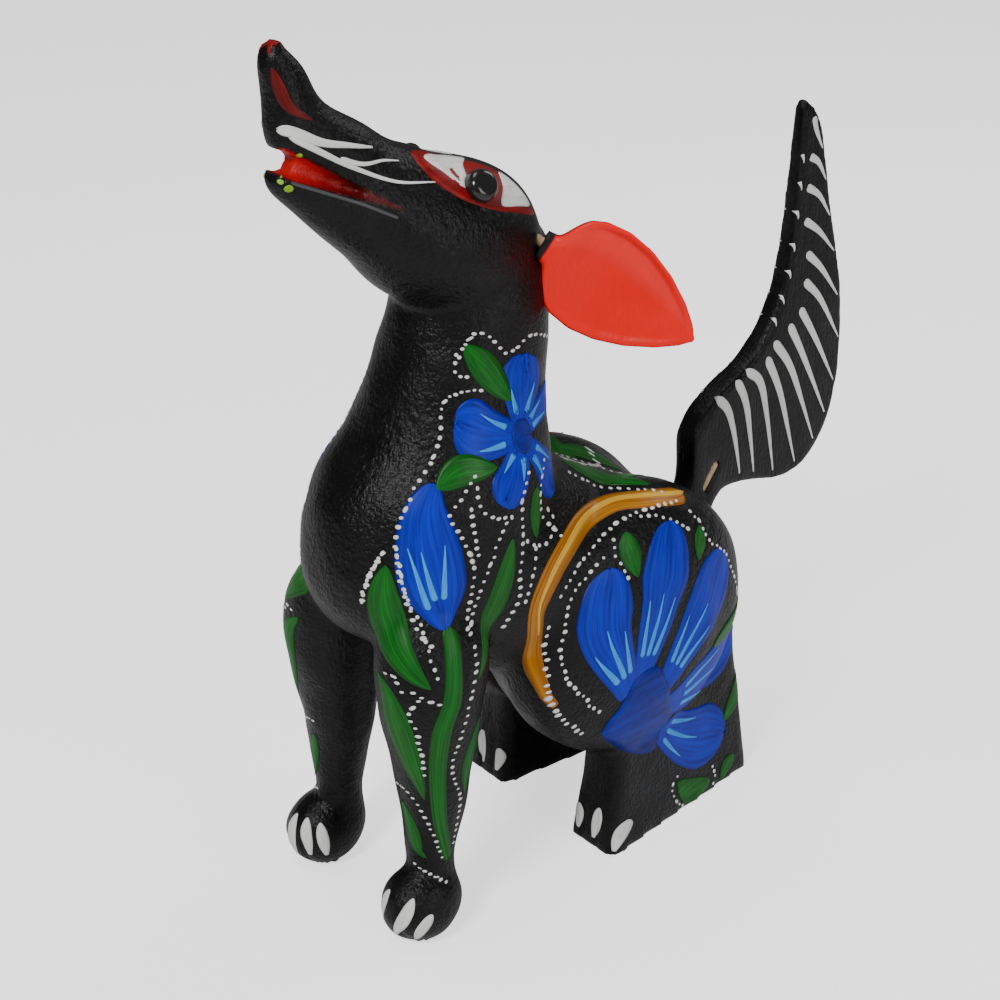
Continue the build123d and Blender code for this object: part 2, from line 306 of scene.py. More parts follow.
def blob(outline, spacing=0.8, rings=6):
    """A free shape: rings that shrink evenly from a smooth closed outline to its middle."""
    knots = np.asarray(outline, dtype=float)
    curve = curve_through(np.vstack([knots[-1:], knots, knots[:2]]))
    count = max(18, int(travel(curve)[-1] / spacing))
    rim = follow(curve, np.arange(count) / count)
    centre = rim.mean(axis=0)
    share = np.linspace(0, 1, rings + 1)[1:]
    grown = centre + (rim - centre) * share[:, None, None]
    flat = np.vstack([centre[None], grown.reshape(-1, 2)])
    index = np.arange(count)
    caps = np.stack([np.zeros(count, int), 1 + index, 1 + (index + 1) % count], axis=1)
    brush = (flat - flat.min(axis=0)) / np.ptp(flat, axis=0)
    height = np.concatenate([[1.0], np.repeat(1 - share**4, count)])
    return flat, [caps, grid_faces(rings, count, closed=True) + 1], brush, height


def dots(centres, radii, stretch=None):
    """Round dots, each a centre and two rings of points. Some are stretched along the row."""
    centres = np.asarray(centres, dtype=float)
    count = len(centres)
    radii = np.broadcast_to(np.asarray(radii, dtype=float), (count,))
    index = np.arange(DOT_POINTS)
    turn = index * 2 * np.pi / DOT_POINTS
    ring = np.stack([np.cos(turn), np.sin(turn)], axis=1)
    shape = np.vstack([[[0, 0]], ring * 0.62, ring])
    grown = np.repeat(shape[None], count, axis=0) * radii[:, None, None]
    if stretch is not None:
        direction, amount = stretch
        along = (grown * direction[:, None]).sum(axis=2)
        grown = grown + along[..., None] * direction[:, None] * amount[:, None, None]
    flat = (centres[:, None] + grown).reshape(-1, 2)
    inner = 1 + index
    after = 1 + (index + 1) % DOT_POINTS
    caps = np.stack([np.zeros(DOT_POINTS, int), inner, after], axis=1)
    rims = np.stack([inner, inner + DOT_POINTS, after + DOT_POINTS, after], axis=1)
    start = np.arange(count)[:, None, None] * len(shape)
    height = np.tile(np.repeat([1.0, 0.82, 0.0], [1, DOT_POINTS, DOT_POINTS]), count)
    brush = np.tile(np.repeat([0.5, 0.7, 1.0], [1, DOT_POINTS, DOT_POINTS]), count)
    brush = np.stack([brush, np.repeat(rng.random(count), len(shape))], axis=1)
    return flat, [(caps + start).reshape(-1, 3), (rims + start).reshape(-1, 4)], brush, height


def dot_row(points):
    """A row of dots at an uneven hand-made pitch along a smooth path."""
    paint = bpy.context.scene.coyote_paint
    curve = smooth_path(points)
    count = max(2, int(round(travel(curve)[-1] / (paint.pitch / MM))) + 1)
    path = follow(curve, np.linspace(0, 1, count))
    direction = unit(np.gradient(path, axis=0))
    path = path + rng.normal(0, 0.12, (count, 2))
    radii = paint.dot / MM * rng.uniform(0.75, 1.2, count)
    drawn_out = rng.random(count) < 0.2
    amount = np.where(drawn_out, rng.uniform(0.3, 0.9, count), rng.uniform(0, 0.15, count))
    return dots(path, radii, (direction, amount))


def veins(points, width, count=3, thick=1.5, start=0.10, reach=0.62):
    """Light strokes that fan out along a petal from its root."""
    curve = smooth_path(points)
    marks = []
    for share in np.linspace(-1, 1, count):
        length = reach * (1 - 0.14 * abs(share)) * rng.uniform(0.9, 1.08)
        path = follow(curve, np.linspace(start, length, 4))
        path = path + leftward(path) * (share * width * 0.29 * np.linspace(0.45, 1, 4))[:, None]
        marks.append(mark(path, thick, "stroke"))
    return marks


def joined(marks):
    """Several marks as one set of points, faces, brush coordinates and heights."""
    flat, faces, brush, height = [], [], [], []
    start = 0
    for points, blocks, uv, rise in marks:
        flat.append(points)
        brush.append(uv)
        height.append(rise)
        faces += [block + start for block in blocks]
        start += len(points)
    return np.vstack(flat), faces, np.vstack(brush), np.concatenate(height)


def facing(far, out, block):
    """The faces, each turned to look out of the carving."""
    a, b, c = (far[block[:, k]] for k in range(3))
    away = (np.cross(b - a, c - a) * out[block[:, 0]]).sum(axis=1) < 0
    return np.where(away[:, None], block[:, ::-1], block)


def lay(name, marks, canvas, target, body, material, side=1, lift=0.07):
    """Lays marks on a carved surface.

    The flat layout is put on its canvas, each point is dropped along the canvas's own normal until
    it meets the surface, and the middle of each mark is raised a little. Faces that miss the surface,
    or are drawn out over an edge, are left off. Each mark is then closed to a thin coat of paint.
    """
    flat, faces, brush, height = joined(marks)
    far, out = (part * np.array([side, 1, 1]) for part in canvas(flat))
    faces = [facing(far, out, block) for block in faces]
    obj = new_object(name, far, faces, material, brush)
    drop = obj.modifiers.new("Drop", "SHRINKWRAP")
    drop.target = target
    drop.wrap_method = "PROJECT"
    drop.use_negative_direction = True
    drop.use_positive_direction = False
    drop.wrap_mode = "ABOVE_SURFACE"
    drop.offset = lift * MM
    settle(obj)
    coords = read_coords(obj.data)
    moved = np.linalg.norm(coords - far, axis=1) > 0.5
    kept = [block[keeps(coords, flat, moved, block)] for block in faces]
    if not any(len(block) for block in kept):
        raise RuntimeError(f"{name}: no mark meets the surface")
    bpy.data.objects.remove(obj)
    used = np.unique(np.concatenate([block.ravel() for block in kept]))
    place = np.full(len(coords), -1)
    place[used] = np.arange(len(used))
    obj = new_object(name, coords[used], [place[block] for block in kept], material, brush[used])
    weigh(obj, "rise", height[used])
    swell = obj.modifiers.new("Rise", "DISPLACE")
    swell.strength = bpy.context.scene.coyote_paint.coat
    swell.mid_level = 0
    swell.vertex_group = "rise"
    coat = obj.modifiers.new("Coat", "SOLIDIFY")
    coat.thickness = (lift + 0.10) * MM
    coat.offset = -1
    settle(obj)
    obj.vertex_groups.clear()
    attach(obj, body)
    return obj


def keeps(coords, flat, moved, block):
    """Which faces met the surface without being drawn out."""
    ends = np.roll(block, -1, axis=1)
    long_now = np.linalg.norm(coords[ends] - coords[block], axis=2).max(axis=1)
    long_flat = np.linalg.norm(flat[ends] - flat[block], axis=2).max(axis=1)
    return moved[block].all(axis=1) & (long_now < 3.2 * long_flat + 0.35)


# ---- Materials ------------------------------------------------------------------------------------


def group_of(name, inputs, outputs):
    """An empty shader node group with named sockets."""
    tree = bpy.data.node_groups.new(name, "ShaderNodeTree")
    for label, kind, default in inputs:
        socket = tree.interface.new_socket(label, in_out="INPUT", socket_type=kind)
        if default is not None:
            socket.default_value = default
    for label, kind in outputs:
        tree.interface.new_socket(label, in_out="OUTPUT", socket_type=kind)
    return tree, tree.nodes.new("NodeGroupInput"), tree.nodes.new("NodeGroupOutput")


def node(tree, kind, values=(), **settings):
    """A node with its settings and its unlinked socket values."""
    made = tree.nodes.new(kind)
    for key, value in settings.items():
        setattr(made, key, value)
    for key, value in dict(values).items():
        made.inputs[key].default_value = value
    return made


def ramp(tree, stops, link, interpolation="LINEAR"):
    """A colour ramp from (place, colour) stops."""
    made = tree.nodes.new("ShaderNodeValToRGB")
    made.color_ramp.interpolation = interpolation
    elements = made.color_ramp.elements
    while len(elements) < len(stops):
        elements.new(0.5)
    for element, (place, colour) in zip(elements, stops):
        element.position = place
        element.color = (*colour, 1)
    tree.links.new(link, made.inputs["Fac"])
    return made


def mix_colour(tree, factor, a, b, blend="MIX"):
    """A colour mix. Each side is a socket or a plain colour, and the factor a socket or a number."""
    made = tree.nodes.new("ShaderNodeMix")
    made.data_type = "RGBA"
    made.blend_type = blend
    for index, value in ((0, factor), (6, a), (7, b)):
        if isinstance(value, bpy.types.NodeSocket):
            tree.links.new(value, made.inputs[index])
        elif index == 0:
            made.inputs[0].default_value = value
        else:
            made.inputs[index].default_value = (*value, 1)
    return made.outputs[2]


def maths(tree, operation, a, b=0.0, clamp=False):
    """One arithmetic step on sockets or numbers."""
    made = tree.nodes.new("ShaderNodeMath")
    made.operation = operation
    made.use_clamp = clamp
    for index, value in ((0, a), (1, b)):
        if isinstance(value, bpy.types.NodeSocket):
            tree.links.new(value, made.inputs[index])
        else:
            made.inputs[index].default_value = value
    return made.outputs[0]


def make_hand_ground():
    """Group: the pebbled, brushed ground of paint on carved wood, from a place on the piece."""
    tree, source, sink = group_of(
        "hand_brushed_ground",
        [
            ("Place", "NodeSocketVector", None),
            ("Pebble", "NodeSocketFloat", 1.0),
            ("Streak", "NodeSocketFloat", 1.0),
        ],
        [("Height", "NodeSocketFloat"), ("Rub", "NodeSocketFloat"), ("Cloud", "NodeSocketFloat")],
    )
    place = source.outputs["Place"]
    fine = node(tree, "ShaderNodeTexNoise", {"Scale": 950.0, "Detail": 3.0, "Roughness": 0.55})
    coarse = node(tree, "ShaderNodeTexNoise", {"Scale": 260.0, "Detail": 2.0, "Roughness": 0.5})
    cloud = node(tree, "ShaderNodeTexNoise", {"Scale": 45.0, "Detail": 4.0, "Roughness": 0.6})
    turn = {"Scale": (1600.0, 1600.0, 160.0), "Rotation": (0.35, 0.1, 0.0)}
    stretch = node(tree, "ShaderNodeMapping", turn)
    brushed = node(tree, "ShaderNodeTexNoise", {"Scale": 1.0, "Detail": 2.0})
    tree.links.new(place, stretch.inputs["Vector"])
    tree.links.new(stretch.outputs[0], brushed.inputs["Vector"])
    for texture in (fine, coarse, cloud):
        tree.links.new(place, texture.inputs["Vector"])
    pebbles = maths(tree, "MULTIPLY", fine.outputs[0], source.outputs["Pebble"])
    waves = maths(tree, "MULTIPLY", coarse.outputs[0], 0.9)
    streaks = maths(tree, "MULTIPLY", brushed.outputs[0], source.outputs["Streak"])
    total = maths(tree, "ADD", maths(tree, "ADD", pebbles, waves), streaks)
    tree.links.new(total, sink.inputs["Height"])
    rub = ramp(tree, [(0.55, (0, 0, 0)), (0.75, (1, 1, 1))], coarse.outputs[0])
    tree.links.new(rub.outputs[0], sink.inputs["Rub"])
    tree.links.new(cloud.outputs[0], sink.inputs["Cloud"])
    return tree


def make_brush_hairs():
    """Group: hair streaks that run along a brush mark, and how near its edge a point is."""
    tree, source, sink = group_of(
        "brush_hairs",
        [("Brush", "NodeSocketVector", None), ("Hairs", "NodeSocketFloat", 14.0)],
        [("Streaks", "NodeSocketFloat"), ("Edge", "NodeSocketFloat")],
    )
    parts = node(tree, "ShaderNodeSeparateXYZ")
    tree.links.new(source.outputs["Brush"], parts.inputs[0])
    across = parts.outputs[1]
    place = node(tree, "ShaderNodeCombineXYZ")
    tree.links.new(maths(tree, "MULTIPLY", parts.outputs[0], 1.6), place.inputs[0])
    tree.links.new(maths(tree, "MULTIPLY", across, source.outputs["Hairs"]), place.inputs[1])
    hairs = node(tree, "ShaderNodeTexNoise", {"Scale": 1.0, "Detail": 3.0, "Roughness": 0.6})
    tree.links.new(place.outputs[0], hairs.inputs["Vector"])
    centred = maths(tree, "ABSOLUTE", maths(tree, "SUBTRACT", across, 0.5))
    edge = maths(tree, "MULTIPLY", centred, 2.0, clamp=True)
    tree.links.new(hairs.outputs[0], sink.inputs["Streaks"])
    tree.links.new(edge, sink.inputs["Edge"])
    return tree


def start_material(name, roughness, coat=0.0, coat_roughness=0.2, gloss=0.2):
    """A material with its Principled shader's constant finish set on the shader's own sockets."""
    if name in bpy.data.materials:
        raise RuntimeError(f"{name}: a material of this name is already here")
    material = bpy.data.materials.new(name)
    material.use_nodes = True
    tree = material.node_tree
    shader = tree.nodes["Principled BSDF"]
    shader.inputs["Roughness"].default_value = roughness
    shader.inputs["Coat Weight"].default_value = coat
    shader.inputs["Coat Roughness"].default_value = coat_roughness
    shader.inputs["Specular IOR Level"].default_value = gloss
    return tree, shader


def ground_on(tree, shader, pebble, streak, depth, low, high):
    """Adds the hand-brushed ground's bump and roughness to a shader. Returns it and its coordinate."""
    coordinate = node(tree, "ShaderNodeTexCoord")
    ground = node(tree, "ShaderNodeGroup", node_tree=bpy.data.node_groups["hand_brushed_ground"])
    ground.inputs["Pebble"].default_value = pebble
    ground.inputs["Streak"].default_value = streak
    tree.links.new(coordinate.outputs["Object"], ground.inputs["Place"])
    relief = node(tree, "ShaderNodeBump", {"Strength": 0.7, "Distance": depth * MM})
    tree.links.new(ground.outputs["Height"], relief.inputs["Height"])
    tree.links.new(relief.outputs[0], shader.inputs["Normal"])
    span = {"From Min": 0.3, "From Max": 0.7, "To Min": low, "To Max": high}
    uneven = node(tree, "ShaderNodeMapRange", span)
    tree.links.new(ground.outputs["Cloud"], uneven.inputs["Value"])
    tree.links.new(uneven.outputs[0], shader.inputs["Roughness"])
    return ground, coordinate


BLACK_ROUGHNESS = {"carved_black": (0.26, 0.42), "tail_black": (0.30, 0.48)}


def start_black(name, pebble, streak, depth, rub):
    """A satin black over gessoed wood, greyer where it is rubbed. Returns its colour's socket too."""
    tree, shader = start_material(name, 0.42, 0.0, 0.3, 0.22)
    ground, _ = ground_on(tree, shader, pebble, streak, depth, *BLACK_ROUGHNESS[name])
    dark, light = (0.0010, 0.0010, 0.0012), (0.0032, 0.0032, 0.0036)
    black = mix_colour(tree, ground.outputs["Cloud"], dark, light)
    worn = maths(tree, "MULTIPLY", ground.outputs["Rub"], rub)
    return tree, shader, mix_colour(tree, worn, black, (0.014, 0.014, 0.015))


def make_carved_black():
    """The block's black, and inside the mouth a pitted red that darkens inwards: painted shade in the
    mouth's recess.
    """
    tree, shader, rubbed = start_black("carved_black", 1.0, 0.35, 0.55, 0.25)
    mouth = node(tree, "ShaderNodeAttribute", attribute_name="mouth")
    depth = node(tree, "ShaderNodeAttribute", attribute_name="depth")
    spots = node(tree, "ShaderNodeTexVoronoi", {"Scale": 700.0})
    # Painted shade: the mouth's red darkens with depth into the recess.
    painted_shade_reds = [(0.1, (0.55, 0.008, 0.008)), (0.7, (0.09, 0.003, 0.003))]
    mouth_red_with_painted_shade = ramp(tree, painted_shade_reds, depth.outputs["Fac"])
    pits = ramp(tree, [(0.16, (1, 1, 1)), (0.3, (0, 0, 0))], spots.outputs["Distance"])
    pitted = mix_colour(tree, pits.outputs[0], mouth_red_with_painted_shade.outputs[0], (0.012, 0.002, 0.002))
    inside = mix_colour(tree, mouth.outputs["Fac"], rubbed, pitted)
    tree.links.new(inside, shader.inputs["Base Color"])


def make_tail_black():
    """The tail's black, with more of the brush in it."""
    tree, shader, rubbed = start_black("tail_black", 0.8, 0.9, 0.30, 0.3)
    tree.links.new(rubbed, shader.inputs["Base Color"])


def make_ear_paint():
    """Bright red in the hollow and on the rim, black behind, with the brushed line between them. One
    rim edge is a lighter red: a painted highlight.
    """
    tree, shader = start_material("ear_paint", 0.4, 0.05, 0.3)
    ground, _ = ground_on(tree, shader, 0.5, 0.8, 0.16, 0.34, 0.5)
    face = node(tree, "ShaderNodeAttribute", attribute_name="face")
    red = mix_colour(tree, ground.outputs["Cloud"], (0.72, 0.0005, 0.0005), (0.92, 0.003, 0.002))
    # Painted highlight: a lighter red along one rim edge of the hollow.
    rim_highlight_share = node(tree, "ShaderNodeAttribute", attribute_name="fold")
    red_with_rim_highlight = mix_colour(tree, rim_highlight_share.outputs["Fac"], red, (0.90, 0.022, 0.018))
    painted = mix_colour(tree, face.outputs["Fac"], (0.008, 0.007, 0.007), red_with_rim_highlight)
    tree.links.new(painted, shader.inputs["Base Color"])


# Each brush colour in its dark, middle and light shade, its hairs across a mark and its roughness.
BRUSH_PAINTS = {
    "petal_blue": ((0.0008, 0.006, 0.20), (0.0012, 0.016, 0.48), (0.003, 0.035, 0.68), 14, 0.45),
    "deep_blue": ((0.0006, 0.004, 0.12), (0.001, 0.009, 0.26), (0.002, 0.02, 0.42), 14, 0.45),
    "light_blue": ((0.01, 0.14, 0.62), (0.03, 0.34, 0.88), (0.18, 0.62, 0.98), 6, 0.45),
    "leaf_green": ((0.001, 0.035, 0.002), (0.002, 0.12, 0.006), (0.008, 0.24, 0.016), 14, 0.45),
    "gold": ((0.20, 0.055, 0.001), (0.42, 0.15, 0.004), (0.62, 0.28, 0.012), 9, 0.38),
    # A lighter gold for the painted highlight on the gold band's ridge.
    "gold_light": ((0.52, 0.24, 0.01), (0.76, 0.42, 0.04), (0.92, 0.60, 0.12), 5, 0.38),
    "white": ((0.62, 0.62, 0.60), (0.82, 0.82, 0.80), (0.90, 0.90, 0.88), 7, 0.45),
    "maroon": ((0.04, 0.001, 0.001), (0.12, 0.003, 0.003), (0.24, 0.006, 0.005), 10, 0.45),
    "eye_red": ((0.10, 0.001, 0.001), (0.22, 0.003, 0.003), (0.36, 0.006, 0.005), 8, 0.45),
    "lime": ((0.12, 0.25, 0.01), (0.28, 0.50, 0.02), (0.45, 0.72, 0.06), 6, 0.45),
    # A grey for the painted highlight along the lip.
    "grey_rub": ((0.03, 0.03, 0.032), (0.07, 0.07, 0.075), (0.13, 0.13, 0.14), 9, 0.45),
}


def make_brush_paint(name, dark, middle, light, hairs, roughness):
    """A brush colour: darker at the mark's edge, with lighter and darker hair streaks along it."""
    tree, shader = start_material(name, roughness, 0.05, 0.25)
    ground, coordinate = ground_on(tree, shader, 0.45, 0.1, 0.14, roughness - 0.08, roughness + 0.1)
    brush = node(tree, "ShaderNodeGroup", node_tree=bpy.data.node_groups["brush_hairs"])
    brush.inputs["Hairs"].default_value = hairs
    tree.links.new(coordinate.outputs["UV"], brush.inputs["Brush"])
    streaked = ramp(tree, [(0.32, dark), (0.5, middle), (0.72, light)], brush.outputs["Streaks"])
    edge = maths(tree, "MULTIPLY", maths(tree, "POWER", brush.outputs["Edge"], 4.0), 0.55)
    edged = mix_colour(tree, edge, streaked.outputs[0], dark)
    clouded = mix_colour(tree, maths(tree, "MULTIPLY", ground.outputs["Cloud"], 0.3), edged, dark)
    tree.links.new(clouded, shader.inputs["Base Color"])


def make_dowel_wood():
    """Bare pale dowel with its grain along it."""
    tree, shader = start_material("dowel_grain", 0.6)
    coordinate = node(tree, "ShaderNodeTexCoord")
    turn = {"Scale": (900.0, 900.0, 60.0), "Rotation": (0.6, 0.0, 0.0)}
    turned = node(tree, "ShaderNodeMapping", turn)
    grain = node(tree, "ShaderNodeTexNoise", {"Scale": 1.0, "Detail": 4.0})
    tree.links.new(coordinate.outputs["Object"], turned.inputs["Vector"])
    tree.links.new(turned.outputs[0], grain.inputs["Vector"])
    colour = ramp(tree, [(0.3, (0.36, 0.22, 0.11)), (0.65, (0.62, 0.45, 0.27))], grain.outputs[0])
    relief = node(tree, "ShaderNodeBump", {"Strength": 0.5, "Distance": 0.1 * MM})
    tree.links.new(colour.outputs[0], shader.inputs["Base Color"])
    tree.links.new(grain.outputs[0], relief.inputs["Height"])
    tree.links.new(relief.outputs[0], shader.inputs["Normal"])


def make_bead_gloss():
    """Black gloss on the eye bead, with a faint unevenness."""
    tree, shader = start_material("bead_gloss", 0.2, 0.6, 0.08)
    ground, _ = ground_on(tree, shader, 0.4, 0.0, 0.08, 0.16, 0.28)
    colour = mix_colour(tree, ground.outputs["Cloud"], (0.006, 0.006, 0.006), (0.018, 0.017, 0.017))
    tree.links.new(colour, shader.inputs["Base Color"])


# ---- Properties -----------------------------------------------------------------------------------


class CoyoteCarving(bpy.types.PropertyGroup):
    """Sizes of the carved skin."""

    voxel: bpy.props.FloatProperty(
        name="Skin grain",
        description="Size of the carved skin's quads",
        default=0.0009,
        unit="LENGTH",
    )
    tail_voxel: bpy.props.FloatProperty(
        name="Tail grain",
        description="Size of the tail's quads",
        default=0.0008,
        unit="LENGTH",
    )
    softening: bpy.props.IntProperty(
        name="Softening",
        description="How many times the limbs' joins are rubbed down",
        default=26,
    )
    facet: bpy.props.FloatProperty(
        name="Knife facets",
        description="Depth of the knife's long cuts",
        default=0.00018,
        unit="LENGTH",
    )


class CoyotePaint(bpy.types.PropertyGroup):
    """Sizes of the painted marks."""

    coat: bpy.props.FloatProperty(
        name="Coat",
        description="How far a mark's middle stands up",
        default=0.00005,
        unit="LENGTH",
    )
    dot: bpy.props.FloatProperty(
        name="Dot radius",
        description="Half the width of a usual dot",
        default=0.00044,
        unit="LENGTH",
    )
    pitch: bpy.props.FloatProperty(
        name="Dot pitch",
        description="Distance between dots in a row",
        default=0.0020,
        unit="LENGTH",
    )


class CoyoteStage(bpy.types.PropertyGroup):
    """The view and the lights."""

    azimuth: bpy.props.FloatProperty(
        name="Azimuth",
        description="Turn of the view",
        default=np.radians(50),
        subtype="ANGLE",
    )
    elevation: bpy.props.FloatProperty(
        name="Elevation",
        description="Rise of the view",
        default=np.radians(27),
        subtype="ANGLE",
    )
    distance: bpy.props.FloatProperty(
        name="Distance",
        description="From the figure to the camera",
        default=0.46,
        unit="LENGTH",
    )
    floor: bpy.props.FloatVectorProperty(
        name="Floor",
        description="Colour of the floor",
        default=(0.86, 0.86, 0.86),
        subtype="COLOR",
    )


# ---- Operators -------------------------------------------------------------------------------------


def skin():
    """The carved skin, which the paint is laid on."""
    return bpy.data.objects["carved_skin"]


class COYOTE_OT_materials(bpy.types.Operator):
    """Make every paint and finish"""

    bl_idname = "coyote.materials"
    bl_label = "Mix the paints"

    def execute(self, context):
        make_hand_ground()
        make_brush_hairs()
        make_carved_black()
        make_tail_black()
        make_ear_paint()
        make_dowel_wood()
        make_bead_gloss()
        for name, settings in BRUSH_PAINTS.items():
            make_brush_paint(name, *settings)
        return {"FINISHED"}


class COYOTE_OT_skin(bpy.types.Operator):
    """Carve the block's skin with softened joins, brows, toes and knife facets"""

    bl_idname = "coyote.skin"
    bl_label = "Carve the block"

    def execute(self, context):
        size = context.scene.coyote_carving
        obj = copy_of_node("carved_body", "carved_skin", size.voxel)
        settle(obj)
        coords = read_coords(obj.data)
        weigh(obj, "soften", softening(coords))
        rub = obj.modifiers.new("Rub", "SMOOTH")
        rub.factor = 0.5
        rub.iterations = size.softening
        rub.vertex_group = "soften"
        settle(obj)
        obj.vertex_groups.clear()
        coords = read_coords(obj.data)
        normals = read_normals(obj.data)
        height = carved_height(coords, size.facet / MM)
        coords = coords + normals * height[:, None]
        coords[:, 2] = np.where(coords[:, 2] < SOLE_CUT, 0, coords[:, 2])
        write_coords(obj.data, coords)
        store(obj.data, "mouth", mouth_share(coords))
        # How deep into the mouth each point lies; the mouth's painted shade darkens with it.
        depth = (LIPS_ALONG - head_frame(coords)[0]) / MOUTH_LENGTH
        store(obj.data, "depth", np.clip(depth, 0, 1))
        obj.data.materials.clear()
        obj.data.materials.append(bpy.data.materials["carved_black"])
        obj.data.shade_smooth()
        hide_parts("carved_body")
        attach(obj, "block")
        return {"FINISHED"}


def copy_of_node(name, new_name, voxel):
    """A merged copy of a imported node, to be remeshed evenly and free to be reshaped."""
    source = bpy.data.objects[name]
    mesh = source.data.copy()
    mesh.name = new_name
    work = bmesh.new()
    work.from_mesh(mesh)
    bmesh.ops.remove_doubles(work, verts=work.verts, dist=2e-6)
    work.to_mesh(mesh)
    work.free()
    obj = bpy.data.objects.new(new_name, mesh)
    bpy.context.scene.collection.objects.link(obj)
    remesh = obj.modifiers.new("Even", "REMESH")
    remesh.mode = "VOXEL"
    remesh.voxel_size = voxel
    return obj


def store(mesh, name, values):
    """Keeps one number for each point, for the materials to read."""
    attribute = mesh.attributes.new(name, "FLOAT", "POINT")
    attribute.data.foreach_set("value", np.ascontiguousarray(values, dtype=np.float32))


def head_frame(coords):
    """Each point as (along the head from the jaw's hinge, above the mouth line)."""
    offset = coords - JAW
    return offset @ HEAD_AXIS, offset @ HEAD_UP


def softening(coords):
    """How much each point may be rubbed down: less at the snout, lips, sockets and soles."""
    along, above = head_frame(coords)
    side = np.abs(coords[:, 0])
    keep = bump(np.maximum(0, 34 - along), 8) * 0.85
    near_lips = bump(above, 5) * (along > 22) * (side < 14)
    keep = np.maximum(keep, near_lips)
    mirrored = np.abs(coords) * [1, 0, 0] + coords * [0, 1, 1]
    for centre, reach in ((EAR_ROOT, 7.0), (EYE_SEAT, 6.5), (TAIL_SEAT, 11.0)):
        keep = np.maximum(keep, bump(np.linalg.norm(mirrored - centre, axis=1), reach))
    keep = np.maximum(keep, 0.6 * bump(coords[:, 2], 1.6))
    return 1 - keep


def carved_height(coords, facet):
    """Height added along the normals: brows, cheek crease, toes and the knife's broad facets."""
    x, y, z = coords.T
    side = np.abs(x)
    along, above = head_frame(coords)
    brow = bump(along - 12, 11) * bump(above - 14.5, 7) * bump(side - 6.5, 8)
    cheek = bump(along - 8 + 0.35 * above, 3.4) * bump(above + 8, 12) * (side > 6)
    toes = np.zeros(len(coords))
    for toe in (16.2, 23.2):
        toes += bump(side - toe, 1.15) * bump(y + 84, 9) * bump(z - 6, 11)
    for toe in (18.0, 22.8):
        toes += 0.9 * bump(side - toe, 1.1) * bump(y + 18, 5.5) * bump(z - 6, 10)
    cut = np.sin(0.42 * y + 0.27 * z + 1.3 * np.sin(0.16 * z + 0.2 * side))
    cut += np.sin(0.31 * z - 0.36 * side + 1.1 * np.sin(0.21 * y))
    return 0.9 * brow - 0.25 * cheek - 0.85 * toes + facet * 0.5 * cut


def mouth_share(coords):
    """1 on the faces inside the mouth's wedge and 0 elsewhere."""
    along, above = head_frame(coords)
    depth = LIPS_ALONG - along
    roof = 2.7 - 0.026 * depth
    floor = -1.9 + 0.178 * np.clip(depth - 4, 0, None)
    inside = np.clip((roof - above) / 0.4 + 0.9, 0, 1) * np.clip((above - floor) / 0.4 + 0.9, 0, 1)
    return inside * (depth > -1) * (depth < MOUTH_LENGTH + 1)


class COYOTE_OT_ears(bpy.types.Operator):
    """Shape both cupped ears with their raised rims"""

    bl_idname = "coyote.ears"
    bl_label = "Shape the ears"

    def execute(self, context):
        for side, name in ((1, "left"), (-1, "right")):
            coords, faces, face, fold = ear_surface(side)
            obj = new_object(f"{name}_ear_leaf", coords, faces, bpy.data.materials["ear_paint"])
            store(obj.data, "face", face)
            # The second attribute holds the share of the painted rim highlight.
            store(obj.data, "fold", fold)
            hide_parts(f"{name}_ear")
            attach(obj, f"{name}_ear")
        return {"FINISHED"}


